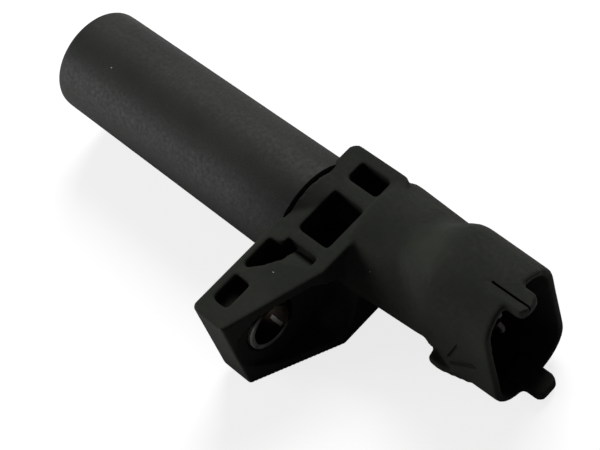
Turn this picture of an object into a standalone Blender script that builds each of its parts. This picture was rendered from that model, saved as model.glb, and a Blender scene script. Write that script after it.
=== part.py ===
"""Crankshaft position sensor: a bar-shaped sensing head, a pocketed bolt flange and a plug hood.

The barrel's axis is X. The sensing face is at X = 0 and the plug opens towards +X.
The bolt lobe of the flange points to -Y, and the flange's cored side faces +Z.
"""

from math import atan2, cos, pi, radians, sin, sqrt, tan

import bmesh
import bpy
from mathutils import Vector

MM = 0.001

# Fits between pieces
CLEARANCE = 0.3 * MM
OVERRUN = 2.0 * MM

# Sensing barrel, a thin cup closed at the sensing face
BARREL_RADIUS = 9.0 * MM
BARREL_DRAFT = 0.2 * MM
BARREL_LENGTH = 51.2 * MM
BARREL_SEAT = 0.6 * MM
BARREL_WALL = 1.7 * MM
TIP_WALL = 1.4 * MM
TIP_EDGE = 0.6 * MM

# Bolt flange
FLANGE_TOP = 7.3 * MM
FLANGE_BOTTOM = -10.1 * MM
FLANGE_DEPTH = 11.6 * MM
LOBE_DEPTH = 6.4 * MM
LOBE_REACH = 24.4 * MM
KNEE_Y = -8.9 * MM
HEEL_Y = 10.3 * MM
CORNER_RADIUS = 1.4 * MM
LOBE_FRONT_CORNER = 0.8 * MM
LOBE_REAR_CORNER = 0.4 * MM
FLANGE_EDGE = 0.35 * MM
FOOT_REACH = 1.6 * MM
FOOT_SPREAD = 1.7 * MM
COLLAR_DROP = 0.5 * MM
COLLAR_SLOPE = 1.2 * MM

# Bolt hole, its split steel bushing and the clearance for the bolt's head
BOLT_FROM_END = 7.1 * MM
BOLT_Z = -1.5 * MM
BUSHING_RADIUS = 4.2 * MM
BUSHING_BORE_RADIUS = 3.3 * MM
BUSHING_SLIT = 0.9 * MM
BUSHING_PROUD = 0.3 * MM
BUSHING_EDGE = 0.25 * MM
HEAD_RECESS_RADIUS = 6.9 * MM
HEAD_RECESS_STRETCH = 4.8 * MM
RIB_WALL = 1.5 * MM

# Core pockets, sunk from the flange's top face
FRONT_RIB = 3.4 * MM
HEEL_POCKET = (5.9 * MM, 3.3 * MM, 11.0 * MM)
HEEL_RIB = 2.0 * MM
CENTRE_POCKET = (6.0 * MM, 8.0 * MM)
CENTRE_FLOOR = 0.9 * MM
CENTRE_DEPTH = 13.0 * MM
CENTRE_RIB = 2.6 * MM
LOBE_RIB = 1.9 * MM
LOBE_POCKET_DEPTH = 10.0 * MM
LOBE_POCKET_LENGTH = 8.2 * MM
LOBE_POCKET_END = (1.7 * MM, 2.4 * MM)
LOBE_WEB = (3.9 * MM, 6.4 * MM, 7.3 * MM)
LOBE_FRONT_RIB = 1.2 * MM
SLOT_POCKET = (2.9 * MM, 5.0 * MM, 3.0 * MM)
SLOT_RIB = 1.5 * MM
SLOT_PAST_BOLT = 4.2 * MM
POCKET_CORNER = 0.5 * MM

# Rear body, which carries the leads from the barrel to the plug
BODY_Y = 3.2 * MM
BODY_RADIUS = 9.1 * MM
BODY_END_RADIUS = 8.4 * MM
BODY_LENGTH = 14.0 * MM

# Spigot that seats in the barrel's open end
SPIGOT_LENGTH = 6.5 * MM
SPIGOT_WALL = 1.2 * MM

# Plug hood
HOOD_LENGTH = 12.7 * MM
HOOD_Y = 2.7 * MM
HOOD_Z = 1.3 * MM
HOOD_WIDTH = 14.9 * MM
HOOD_HEIGHT = 26.6 * MM
HOOD_CORNER = 6.1 * MM
HOOD_TAPER = 0.35 * MM
HOOD_WALL = 1.3 * MM
HOOD_DRAFT = 0.2 * MM
RIM_EDGE = 0.25 * MM
HOOD_RAMP = 2.0 * MM
CROWN_RAMP = 8.0 * MM
RAMP_STEPS = 8
THROAT_DEPTH = 6.0 * MM
THROAT_WIDTH = 9.4 * MM
THROAT_HEIGHT = 12.2 * MM
SECTION_POINTS = 64

# Latch tongue over the mouth, key tab under it and the fin on the lobe side
LATCH_Y = 2.2 * MM
TONGUE_WIDTH = 3.7 * MM
TONGUE_REACH = 2.9 * MM
TONGUE_THICKNESS = 1.9 * MM
TONGUE_GROOVE_WIDTH = 0.5 * MM
TONGUE_GROOVE_DEPTH = 0.8 * MM
TONGUE_GROOVE_LENGTH = 6.2 * MM
TONGUE_GROOVE_OFFSET = 0.5 * MM
TONGUE_CORNER = 1.1 * MM
TAB_WIDTH = 4.0 * MM
TAB_REACH = 3.4 * MM
TAB_THICKNESS = 2.0 * MM
TAB_CORNER = 1.1 * MM
FIN_LENGTH = 7.4 * MM
FIN_REACH = 1.5 * MM
FIN_ROOT = 3.0 * MM
FIN_CORNER = 0.8 * MM
FIN_THICKNESS = 1.4 * MM
FIN_Z = -8.3 * MM
FIN_POCKET_HEIGHT = 4.6 * MM
FIN_POCKET_DEPTH = 1.5 * MM

# Terminals: three stamped strips that run from the coil to the plug
TERMINAL_THICKNESS = 0.8 * MM
BLADE_WIDTH = 2.6 * MM
BLADE_PITCH = 4.4 * MM
BLADE_INSET = 5.0 * MM
STRIP_WIDTH = 1.2 * MM
STRIP_PITCH = 1.9 * MM
STRIP_Z = -1.0 * MM
STRIP_FREE_END = 1.6 * MM
TERMINAL_EDGE = 0.12 * MM

# Terminal carrier
CARRIER_WIDTH = 2.6 * MM
CARRIER_WALL = 0.6 * MM
CARRIER_REACH = 3.0 * MM
CARRIER_REAR_WALL = 2.0 * MM

# Coil, core and magnet inside the barrel
CORE_RADIUS = 2.2 * MM
CORE_HEAD_RADIUS = 4.8 * MM
CORE_HEAD_LENGTH = 1.8 * MM
CORE_FACE = 0.0 * MM
BOBBIN_WALL = 0.9 * MM
BOBBIN_FLANGE = 1.1 * MM
LEAD_ROOM = 9.6 * MM
WIRE_DEPTH = 2.2 * MM
TAPE_THICKNESS = 0.25 * MM
MAGNET_LENGTH = 7.0 * MM
MAGNET_EDGE = 0.3 * MM
YOKE_LENGTH = 1.8 * MM
LEAD_RADIUS = 0.25 * MM
LEAD_BEND = 1.2 * MM
LEAD_GROOVE = 1.2 * MM

# Places that follow from the sizes above
FLANGE_FRONT = BARREL_LENGTH + CLEARANCE - BARREL_SEAT
FLANGE_REAR = FLANGE_FRONT + FLANGE_DEPTH
LOBE_REAR = FLANGE_FRONT + LOBE_DEPTH
BODY_END = FLANGE_REAR + BODY_LENGTH
MOUTH_X = BODY_END + HOOD_LENGTH
HOOD_TOP = HOOD_Z + HOOD_HEIGHT / 2
HOOD_BOTTOM = HOOD_Z - HOOD_HEIGHT / 2
BOLT_Y = BOLT_FROM_END - LOBE_REACH
CUP_BORE = BARREL_RADIUS - BARREL_WALL
SPIGOT_RADIUS = CUP_BORE - CLEARANCE
SPIGOT_BORE = SPIGOT_RADIUS - SPIGOT_WALL
SPIGOT_START = BARREL_LENGTH - SPIGOT_LENGTH
SOCKET_FLOOR = BODY_END - THROAT_DEPTH
BLADE_TIP = MOUTH_X - BLADE_INSET
CARRIER_END = FLANGE_REAR - CARRIER_REAR_WALL
CARRIER_START = SPIGOT_START - CARRIER_REACH
BOBBIN_START = TIP_WALL + CLEARANCE
BOBBIN_RADIUS = CUP_BORE - CLEARANCE
BOBBIN_BORE = CORE_RADIUS + CLEARANCE
BOBBIN_TUBE = BOBBIN_BORE + BOBBIN_WALL
BOBBIN_END = CARRIER_START - LEAD_ROOM
YOKE_START = BOBBIN_END - YOKE_LENGTH
MAGNET_START = YOKE_START - CLEARANCE - MAGNET_LENGTH
CORE_HEAD_START = MAGNET_START - CLEARANCE - CORE_HEAD_LENGTH
COIL_START = BOBBIN_START + BOBBIN_FLANGE
COIL_END = CORE_HEAD_START - BOBBIN_FLANGE
WINDING_INNER = BOBBIN_TUBE + CLEARANCE
WINDING_OUTER = WINDING_INNER + WIRE_DEPTH
TAPE_INNER = WINDING_OUTER + CLEARANCE


def start_scene():
    """Empties the scene and makes one collection for the sensor and one for its cutters."""
    for old in list(bpy.data.objects):
        bpy.data.objects.remove(old, do_unlink=True)
    parts = bpy.data.collections.new("crankshaft_position_sensor")
    cutters = bpy.data.collections.new("cutters")
    for collection in (parts, cutters):
        bpy.context.scene.collection.children.link(collection)
    axis = bpy.data.objects.new("sensor_axis", None)
    parts.objects.link(axis)
    return parts, cutters, axis


def principled(name, colour, roughness, metallic=0.0):
    material = bpy.data.materials.new(name)
    material.use_nodes = True
    shader = material.node_tree.nodes["Principled BSDF"]
    shader.inputs["Base Color"].default_value = (*colour, 1.0)
    shader.inputs["Roughness"].default_value = roughness
    shader.inputs["Metallic"].default_value = metallic
    return material


def add_part(obj, material):
    """Puts a finished piece into the sensor's collection, under its axis."""
    PARTS.objects.link(obj)
    obj.parent = AXIS
    obj.data.materials.clear()
    obj.data.materials.append(material)
    obj.data.shade_smooth()
    obj.data.set_sharp_from_angle(angle=radians(35))
    return obj


def add_cutter(obj):
    CUTTERS.objects.link(obj)
    obj.hide_render = True
    obj.display_type = "WIRE"
    return obj


def object_from(mesh_builder, name):
    mesh = bpy.data.meshes.new(name)
    bmesh.ops.recalc_face_normals(mesh_builder, faces=mesh_builder.faces)
    mesh_builder.to_mesh(mesh)
    mesh_builder.free()
    return bpy.data.objects.new(name, mesh)


def box(name, low, high):
    """A box between two corners."""
    low, high = Vector(low), Vector(high)
    shape = bmesh.new()
    bmesh.ops.create_cube(shape, size=1.0)
    size = high - low
    bmesh.ops.scale(shape, vec=size, verts=shape.verts)
    obj = object_from(shape, name)
    obj.location = (low + high) / 2
    return obj


def cone(name, start_radius, end_radius, start, end, y=0.0, z=0.0, segments=48):
    """A round bar along X whose radius may change from start to end."""
    shape = bmesh.new()
    bmesh.ops.create_cone(
        shape, cap_ends=True, segments=segments, radius1=start_radius, radius2=end_radius, depth=end - start
    )
    obj = object_from(shape, name)
    obj.rotation_euler = (0, pi / 2, 0)
    obj.location = ((start + end) / 2, y, z)
    return obj


def rod(name, radius, start, end, y=0.0, z=0.0, segments=48):
    return cone(name, radius, radius, start, end, y, z, segments)


def turned(name, profile, segments=64):
    """A piece turned about X, from a closed profile of (x, radius) points."""
    mesh = bpy.data.meshes.new(name)
    points = [(radius, 0.0, x) for x, radius in profile]
    edges = [(i, (i + 1) % len(points)) for i in range(len(points))]
    mesh.from_pydata(points, edges, [])
    obj = bpy.data.objects.new(name, mesh)
    obj.rotation_euler = (0, pi / 2, 0)
    screw = obj.modifiers.new("turn", "SCREW")
    screw.axis = "Z"
    screw.steps = segments
    screw.render_steps = segments
    screw.use_merge_vertices = True
    screw.merge_threshold = 0.00001
    return obj


def plate(name, outline, low, high, axis="Z"):
    """A flat outline given thickness. Along Z the outline is in X and Y, along Y it is in X and Z,
    and along X it is in Y and Z."""
    curve = bpy.data.curves.new(name, "CURVE")
    curve.dimensions = "2D"
    curve.fill_mode = "BOTH"
    curve.extrude = (high - low) / 2
    spline = curve.splines.new("POLY")
    spline.points.add(len(outline) - 1)
    for point, (u, v) in zip(spline.points, outline):
        point.co = (u, v, 0, 1)
    spline.use_cyclic_u = True
    drawn = bpy.data.objects.new(name, curve)
    middle = (low + high) / 2
    if axis == "Z":
        drawn.location = (0, 0, middle)
    elif axis == "Y":
        drawn.rotation_euler = (pi / 2, 0, 0)
        drawn.location = (0, middle, 0)
    else:
        drawn.rotation_euler = (pi / 2, 0, pi / 2)
        drawn.location = (middle, 0, 0)
    return meshed(drawn)


def meshed(drawn):
    """Turns a curve object into a closed mesh object in the same place."""
    bpy.context.scene.collection.objects.link(drawn)
    bpy.context.view_layer.update()
    evaluated = drawn.evaluated_get(bpy.context.evaluated_depsgraph_get())
    mesh = bpy.data.meshes.new_from_object(evaluated)
    shape = bmesh.new()
    shape.from_mesh(mesh)
    bmesh.ops.remove_doubles(shape, verts=shape.verts, dist=0.000001)
    bmesh.ops.recalc_face_normals(shape, faces=shape.faces)
    shape.to_mesh(mesh)
    shape.free()
    name, place = drawn.name, drawn.matrix_world.copy()
    bpy.data.objects.remove(drawn, do_unlink=True)
    obj = bpy.data.objects.new(name, mesh)
    obj.matrix_world = place
    return obj


def rounded(corners, radius, steps=4):
    """Rounds each corner of an outline. Each corner is (u, v) or (u, v, own radius)."""
    outline = []
    for i, corner in enumerate(corners):
        here = Vector(corner[:2])
        size = corner[2] if len(corner) > 2 else radius
        if size <= 0:
            outline.append(tuple(here))
            continue
        to_last = (Vector(corners[i - 1][:2]) - here).normalized()
        to_next = (Vector(corners[(i + 1) % len(corners)][:2]) - here).normalized()
        half = to_last.angle(to_next) / 2
        reach = size / tan(half)
        centre = here + (to_last + to_next).normalized() * size / sin(half)
        first = here + to_last * reach - centre
        last = here + to_next * reach - centre
        turn = first.angle_signed(last)
        begin = atan2(first.y, first.x)
        for k in range(steps + 1):
            angle = begin - turn * k / steps
            outline.append((centre.x + size * cos(angle), centre.y + size * sin(angle)))
    return outline


def stretched_circle(low_y, high_y, z, radius, steps=20):
    """An outline in Y and Z of a circle drawn out along Y."""
    outline = []
    for k in range(steps + 1):
        angle = -pi / 2 + pi * k / steps
        outline.append((high_y + radius * cos(angle), z + radius * sin(angle)))
    for k in range(steps + 1):
        angle = pi / 2 + pi * k / steps
        outline.append((low_y + radius * cos(angle), z + radius * sin(angle)))
    return outline


def boolean(obj, other, operation):
    change = obj.modifiers.new(operation.lower(), "BOOLEAN")
    change.operation = operation
    change.solver = "EXACT"
    change.object = other


def cut(obj, *tools):
    for tool in tools:
        boolean(obj, add_cutter(tool), "DIFFERENCE")
    return obj


def join(obj, *pieces):
    for piece in pieces:
        boolean(obj, add_cutter(piece), "UNION")
    return obj


def bevel(obj, width, segments=1, angle=40):
    edge = obj.modifiers.new("bevel", "BEVEL")
    edge.width = width
    edge.segments = segments
    edge.limit_method = "ANGLE"
    edge.angle_limit = radians(angle)
    return obj


def hood_section(width, height, corner, y, z):
    """Points of a rounded rectangle at even angles about its centre, as (y, z)."""
    half_width, half_height = width / 2, height / 2
    inner_width, inner_height = half_width - corner, half_height - corner
    points = []
    for k in range(SECTION_POINTS):
        angle = 2 * pi * k / SECTION_POINTS
        across, up = cos(angle), sin(angle)
        side, level = abs(across), abs(up)
        reach = min(half_width / max(side, 1e-9), half_height / max(level, 1e-9))
        if reach * side > inner_width and reach * level > inner_height:
            along = side * inner_width + level * inner_height
            beyond = inner_width ** 2 + inner_height ** 2 - corner ** 2
            reach = along + sqrt(max(along ** 2 - beyond, 0.0))
        points.append((y + reach * across, z + reach * up))
    return points


def loft(name, stations):
    """A closed skin through sections with the same number of points, given as (x, section)."""
    shape = bmesh.new()
    rings = []
    for x, section in stations:
        rings.append([shape.verts.new((x, y, z)) for y, z in section])
    for near, far in zip(rings, rings[1:]):
        count = len(near)
        for k in range(count):
            after = (k + 1) % count
            shape.faces.new((near[k], near[after], far[after], far[k]))
    shape.faces.new(rings[0])
    shape.faces.new(rings[-1])
    return object_from(shape, name)


def barrel_cup():
    """The sensing barrel: a drafted cup with a hole for the core at its closed end."""
    front = BARREL_RADIUS - BARREL_DRAFT
    profile = [
        (0.0, CORE_RADIUS + CLEARANCE),
        (TIP_WALL, CORE_RADIUS + CLEARANCE),
        (TIP_WALL, CUP_BORE),
        (BARREL_LENGTH, CUP_BORE),
        (BARREL_LENGTH, BARREL_RADIUS),
        (TIP_EDGE, front),
        (TIP_EDGE * 0.3, front - TIP_EDGE * 0.3),
        (0.0, front - TIP_EDGE),
    ]
    return add_part(turned("barrel_cup", profile, 96), BLACK_BARREL)


def flange_block():
    """The bolt flange before it is cored: thick at the barrel and tapered to the bolt lobe, with a
    rear side that leans out towards the foot."""
    outline = rounded(
        [
            (FLANGE_FRONT, -LOBE_REACH, LOBE_FRONT_CORNER),
            (FLANGE_FRONT, HEEL_Y),
            (FLANGE_REAR, HEEL_Y),
            (FLANGE_REAR, KNEE_Y),
            (LOBE_REAR, -LOBE_REACH, LOBE_REAR_CORNER),
        ],
        CORNER_RADIUS,
    )
    block = plate("body_moulding", outline, FLANGE_BOTTOM, FLANGE_TOP)
    for corner in block.data.vertices:
        if corner.co.z < 0 and corner.co.x > FLANGE_REAR - 1.5 * CORNER_RADIUS:
            corner.co.x += FOOT_REACH
            if corner.co.y < 0:
                corner.co.y -= FOOT_SPREAD
    return bevel(block, FLANGE_EDGE)


def hood(shrink):
    """The hood's section, a little narrower at the crown than at the base."""
    section = hood_section(
        HOOD_WIDTH - 2 * shrink, HOOD_HEIGHT - 2 * shrink, HOOD_CORNER - shrink, HOOD_Y, HOOD_Z
    )
    lean = 4 * HOOD_TAPER / (HOOD_WIDTH * HOOD_HEIGHT)
    return [(y - (y - HOOD_Y) * (z - HOOD_Z) * lean, z) for y, z in section]


def rear_body_and_hood():
    """The round rear body, lofted into the tall plug hood."""
    def circle(radius):
        return hood_section(2 * radius, 2 * radius, radius, BODY_Y, 0.0)

    def ramp_section(x):
        """The round section grown into the hood: early at crown and base, late at the flanks."""
        grown = []
        radius = BODY_RADIUS + (BODY_END_RADIUS - BODY_RADIUS) * min((x - FLANGE_REAR) / BODY_LENGTH, 1.0)
        for k, (small, large) in enumerate(zip(circle(radius), hood(0.0))):
            upright = abs(sin(2 * pi * k / SECTION_POINTS)) ** 1.5
            begin = BODY_END - CROWN_RAMP * upright
            share = min(max((x - begin) / (BODY_END + HOOD_RAMP - begin), 0.0), 1.0)
            ease = share * share * (3 - 2 * share)
            grown.append((small[0] + (large[0] - small[0]) * ease, small[1] + (large[1] - small[1]) * ease))
        return grown

    round_start = FLANGE_REAR - CORNER_RADIUS
    ramp_start = BODY_END - CROWN_RAMP
    ramp_length = CROWN_RAMP + HOOD_RAMP
    places = [ramp_start + ramp_length * k / RAMP_STEPS for k in range(RAMP_STEPS + 1)]
    ramp = [(x, ramp_section(x)) for x in places]
    return loft(
        "rear_body",
        [
            (round_start, circle(BODY_RADIUS - FLANGE_EDGE)),
            (round_start + FLANGE_EDGE, circle(BODY_RADIUS)),
            (FLANGE_REAR, circle(BODY_RADIUS)),
            *ramp,
            (MOUTH_X - RIM_EDGE, hood(HOOD_DRAFT)),
            (MOUTH_X, hood(HOOD_DRAFT + RIM_EDGE)),
        ],
    )


def core_pockets():
    """The four core pockets sunk from the flange's top face."""
    above = FLANGE_TOP + OVERRUN
    heel_x, heel_y, heel_depth = HEEL_POCKET
    centre_x, centre_y = CENTRE_POCKET
    centre_floor = carrier_bounds(CLEARANCE)[3] + CENTRE_FLOOR
    slot_x, slot_y, slot_depth = SLOT_POCKET
    front = FLANGE_FRONT + FRONT_RIB
    heel_top = HEEL_Y - HEEL_RIB
    centre_top = heel_top - heel_y - CENTRE_RIB
    lobe_top = centre_top - centre_y - LOBE_RIB

    def outline(x0, y0, x1, y1):
        return rounded([(x0, y0), (x1, y0), (x1, y1), (x0, y1)], POCKET_CORNER)

    heel = plate("heel_pocket", outline(front, heel_top - heel_y, front + heel_x, heel_top),
                 FLANGE_TOP - heel_depth, above)
    centre = plate("centre_pocket", outline(front, centre_top - centre_y, front + centre_x, centre_top),
                   centre_floor, above)
    conduit_side = carrier_bounds(CLEARANCE)[0] - CENTRE_FLOOR
    well = plate("centre_well", outline(front, centre_top - centre_y, front + centre_x, conduit_side),
                 FLANGE_TOP - CENTRE_DEPTH, above)

    lobe_front = FLANGE_FRONT + LOBE_FRONT_RIB
    lobe_end = lobe_front + LOBE_POCKET_LENGTH
    step_y = lobe_top - CENTRE_RIB / 2
    end_y, end_x = LOBE_POCKET_END
    web_x, web_low, web_high = LOBE_WEB
    lobe = plate(
        "lobe_pocket",
        rounded(
            [
                (front, lobe_top),
                (front, step_y),
                (lobe_front, step_y - POCKET_CORNER),
                (lobe_front, BOLT_Y + end_y),
                (lobe_front + end_x, BOLT_Y + end_y + end_x),
                (lobe_front + web_x, BOLT_Y + web_low),
                (lobe_front + 1.5 * web_x, BOLT_Y + web_high),
                (lobe_end, lobe_top - LOBE_RIB),
                (lobe_end, lobe_top),
            ],
            POCKET_CORNER,
        ),
        FLANGE_TOP - LOBE_POCKET_DEPTH,
        above,
    )
    bushing_boss = rod("bushing_boss", BUSHING_RADIUS + CLEARANCE + RIB_WALL, FLANGE_FRONT - OVERRUN,
                       FLANGE_REAR, BOLT_Y, BOLT_Z)
    recess_shell = plate("recess_shell", recess_outline(RIB_WALL), LOBE_REAR - RIB_WALL,
                         FLANGE_REAR + OVERRUN, "X")
    cut(lobe, bushing_boss, recess_shell)

    slot_front = FLANGE_FRONT + SLOT_RIB
    slot_low = BOLT_Y - SLOT_PAST_BOLT
    slot = plate("slot_pocket", outline(slot_front, slot_low, slot_front + slot_x, slot_low + slot_y),
                 FLANGE_TOP - slot_depth, above)
    return heel, centre, well, lobe, slot


def recess_outline(margin):
    return stretched_circle(BOLT_Y, BOLT_Y + HEAD_RECESS_STRETCH, BOLT_Z, HEAD_RECESS_RADIUS + margin)


def strip_route(index):
    """Centre line in X and Z of one terminal, from the coil end to the blade's tip."""
    level = STRIP_Z + (1 - index) * STRIP_PITCH
    blade_level = HOOD_Z + (1 - index) * BLADE_PITCH
    spread = FLANGE_REAR - STRIP_FREE_END
    return [
        (CARRIER_START - STRIP_FREE_END, level),
        (spread, level),
        (SOCKET_FLOOR - STRIP_FREE_END, blade_level),
        (BLADE_TIP, blade_level),
    ]


def strip_outline(index, margin=0.0):
    """Flat outline of one terminal: a narrow strip that spreads to the plug blade."""
    start, spread, floor, tip = strip_route(index)
    narrow = STRIP_WIDTH / 2 + margin
    wide = BLADE_WIDTH / 2 + margin
    nose = wide * 0.45
    lean = (floor[1] - spread[1]) / (floor[0] - spread[0]) * narrow / 2
    return [
        (start[0] - margin, start[1] - narrow),
        (spread[0] + lean, spread[1] - narrow),
        (floor[0] + lean, floor[1] - wide),
        (tip[0] - wide + nose + margin, tip[1] - wide),
        (tip[0] + margin, tip[1] - nose),
        (tip[0] + margin, tip[1] + nose),
        (tip[0] - wide + nose + margin, tip[1] + wide),
        (floor[0] - lean, floor[1] + wide),
        (spread[0] - lean, spread[1] + narrow),
        (start[0] - margin, start[1] + narrow),
    ]


def terminal(index, name):
    half = TERMINAL_THICKNESS / 2
    strip = plate(name, strip_outline(index), BODY_Y - half, BODY_Y + half, "Y")
    return add_part(bevel(strip, TERMINAL_EDGE, 1, 60), TINNED)


def carrier_bounds(margin=0.0):
    low = STRIP_Z - STRIP_PITCH - STRIP_WIDTH / 2 - CARRIER_WALL - margin
    high = STRIP_Z + STRIP_PITCH + STRIP_WIDTH / 2 + CARRIER_WALL + margin
    return BODY_Y - CARRIER_WIDTH / 2 - margin, BODY_Y + CARRIER_WIDTH / 2 + margin, low, high


def strip_slots(name, start, end):
    """Clearance slots that let the three strips through, between two places along X."""
    half = TERMINAL_THICKNESS / 2 + CLEARANCE
    slots = []
    for index in range(3):
        slot = plate(f"{name}_{index}", strip_outline(index, CLEARANCE), BODY_Y - half, BODY_Y + half, "Y")
        keep = box(f"{name}_{index}_keep", (start, BODY_Y - 2 * half, -BARREL_RADIUS),
                   (end, BODY_Y + 2 * half, BARREL_RADIUS * 1.5))
        boolean(slot, add_cutter(keep), "INTERSECT")
        slots.append(slot)
    return slots


def socket():
    """The plug's socket: a tall mouth in the hood and a smaller throat behind it."""
    mouth = loft(
        "socket_mouth",
        [
            (BODY_END + HOOD_RAMP, hood(HOOD_WALL + HOOD_DRAFT)),
            (MOUTH_X + OVERRUN, hood(HOOD_WALL)),
        ],
    )
    half_width, half_height = THROAT_WIDTH / 2, THROAT_HEIGHT / 2
    throat = plate(
        "socket_throat",
        rounded(
            [
                (BODY_Y - half_width, HOOD_Z - half_height),
                (BODY_Y + half_width, HOOD_Z - half_height),
                (BODY_Y + half_width, HOOD_Z + half_height),
                (BODY_Y - half_width, HOOD_Z + half_height),
            ],
            HOOD_WALL * 1.5,
        ),
        SOCKET_FLOOR,
        BODY_END + HOOD_RAMP + OVERRUN,
        "X",
    )
    return mouth, throat


def latch_tongue():
    """The tongue over the mouth, and the narrow groove that runs out along it."""
    tip = MOUTH_X + TONGUE_REACH
    root = MOUTH_X - TONGUE_REACH
    low_y, high_y = LATCH_Y - TONGUE_WIDTH / 2, LATCH_Y + TONGUE_WIDTH / 2
    top = HOOD_TOP - HOOD_DRAFT
    tongue = plate(
        "tongue",
        rounded([(root, low_y, 0), (tip, low_y), (tip, high_y), (root, high_y, 0)], TONGUE_CORNER),
        top - TONGUE_THICKNESS,
        top,
    )
    groove_y = LATCH_Y - TONGUE_GROOVE_OFFSET
    groove_end = tip - TONGUE_CORNER
    half = TONGUE_GROOVE_WIDTH / 2
    groove = box(
        "tongue_groove",
        (groove_end - TONGUE_GROOVE_LENGTH, groove_y - half, top - TONGUE_GROOVE_DEPTH),
        (groove_end, groove_y + half, top + OVERRUN),
    )
    return tongue, groove


def key_tab():
    """The tab that stands out from the hood's lower wall."""
    low_y, high_y = LATCH_Y - TAB_WIDTH / 2, LATCH_Y + TAB_WIDTH / 2
    root = MOUTH_X - TAB_REACH
    tip = MOUTH_X + TAB_REACH
    bottom = HOOD_BOTTOM + HOOD_DRAFT + RIM_EDGE
    return plate(
        "key_tab",
        rounded([(root, low_y, 0), (tip, low_y), (tip, high_y), (root, high_y, 0)], TAB_CORNER),
        bottom,
        bottom + TAB_THICKNESS,
    )


def lobe_side_fin():
    """The fin at the hood's lower edge on the lobe side, and the pocket above it."""
    flank = HOOD_Y - HOOD_WIDTH / 2
    start = BODY_END - CLEARANCE
    blend = start + FIN_LENGTH * 0.7
    fin = plate(
        "fin",
        rounded(
            [
                (start, flank - FIN_REACH * 0.5),
                (start + FIN_LENGTH * 0.3, flank - FIN_REACH * 0.6),
                (start + FIN_LENGTH, flank + CLEARANCE, 0),
                (start + FIN_LENGTH, flank + FIN_ROOT, 0),
                (start, flank + FIN_ROOT, 0),
            ],
            FIN_CORNER,
        ),
        FIN_Z - FIN_THICKNESS / 2,
        FIN_Z + FIN_THICKNESS / 2,
    )
    floor = FIN_Z + FIN_THICKNESS / 2
    pocket = plate(
        "fin_pocket",
        [
            (start - OVERRUN, floor),
            (blend, floor),
            (start + FIN_LENGTH * 0.4, floor + FIN_POCKET_HEIGHT),
        ],
        flank - OVERRUN,
        flank + FIN_POCKET_DEPTH,
        "Y",
    )
    wedge = plate(
        "fin_wedge",
        [
            (start - 2 * OVERRUN, flank - 2 * OVERRUN),
            (blend, flank - 2 * OVERRUN),
            (blend, flank),
            (start, flank + FIN_POCKET_DEPTH),
            (start - 2 * OVERRUN, flank + FIN_POCKET_DEPTH),
        ],
        floor - OVERRUN,
        floor + 2 * FIN_POCKET_HEIGHT,
    )
    boolean(pocket, add_cutter(wedge), "INTERSECT")
    return fin, pocket


def body_moulding():
    """Flange, rear body, plug hood and spigot, moulded as one piece."""
    body = flange_block()
    tongue, groove = latch_tongue()
    fin, fin_pocket = lobe_side_fin()
    mouth, throat = socket()
    spigot = rod("spigot", SPIGOT_RADIUS, SPIGOT_START, FLANGE_FRONT + OVERRUN, segments=64)
    seat_floor = FLANGE_FRONT + BARREL_SEAT
    seat = rod("barrel_seat", BARREL_RADIUS + CLEARANCE, FLANGE_FRONT - OVERRUN, seat_floor, segments=96)
    collar = cone("barrel_collar", BARREL_RADIUS - COLLAR_DROP, BARREL_RADIUS - COLLAR_DROP - COLLAR_SLOPE,
                  seat_floor, FLANGE_FRONT + FRONT_RIB, segments=96)
    cut(body, seat)
    join(body, rear_body_and_hood(), collar, spigot)
    cut(body, fin_pocket)
    join(body, fin)
    cut(body, mouth, throat)
    join(body, tongue, key_tab())
    cut(body, groove, *core_pockets())
    bolt_hole = rod("bolt_hole", BUSHING_RADIUS + CLEARANCE, FLANGE_FRONT - OVERRUN,
                    FLANGE_REAR + OVERRUN, BOLT_Y, BOLT_Z)
    head_recess = plate("head_recess", recess_outline(0.0), LOBE_REAR, BODY_END, "X")
    round_body = rod("round_body", BODY_RADIUS, FLANGE_FRONT, BODY_END + OVERRUN, BODY_Y, 0.0, 64)
    cut(head_recess, round_body)
    cut(body, bolt_hole, head_recess)
    low_y, high_y, low_z, high_z = carrier_bounds(CLEARANCE)
    bore = rod("spigot_bore", SPIGOT_BORE, SPIGOT_START - OVERRUN, FLANGE_FRONT + 2 * CLEARANCE)
    conduit = box("conduit", (FLANGE_FRONT - CLEARANCE, low_y, low_z),
                  (CARRIER_END + CLEARANCE, high_y, high_z))
    cut(body, bore, conduit)
    cut(body, *strip_slots("body_slot", CARRIER_END, SOCKET_FLOOR + CLEARANCE))
    return add_part(body, BLACK_BODY)


def terminal_carrier():
    """The insert that holds the three strips: a round collar in the spigot and a flat tail."""
    low_y, high_y, low_z, high_z = carrier_bounds()
    collar = rod("terminal_carrier", SPIGOT_BORE - CLEARANCE, CARRIER_START, FLANGE_FRONT + CLEARANCE)
    tail = box("carrier_tail", (FLANGE_FRONT, low_y, low_z), (CARRIER_END, high_y, high_z))
    join(collar, tail)
    cut(collar, *strip_slots("carrier_slot", CARRIER_START - OVERRUN, CARRIER_END + OVERRUN))
    return add_part(collar, NATURAL_NYLON)


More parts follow.
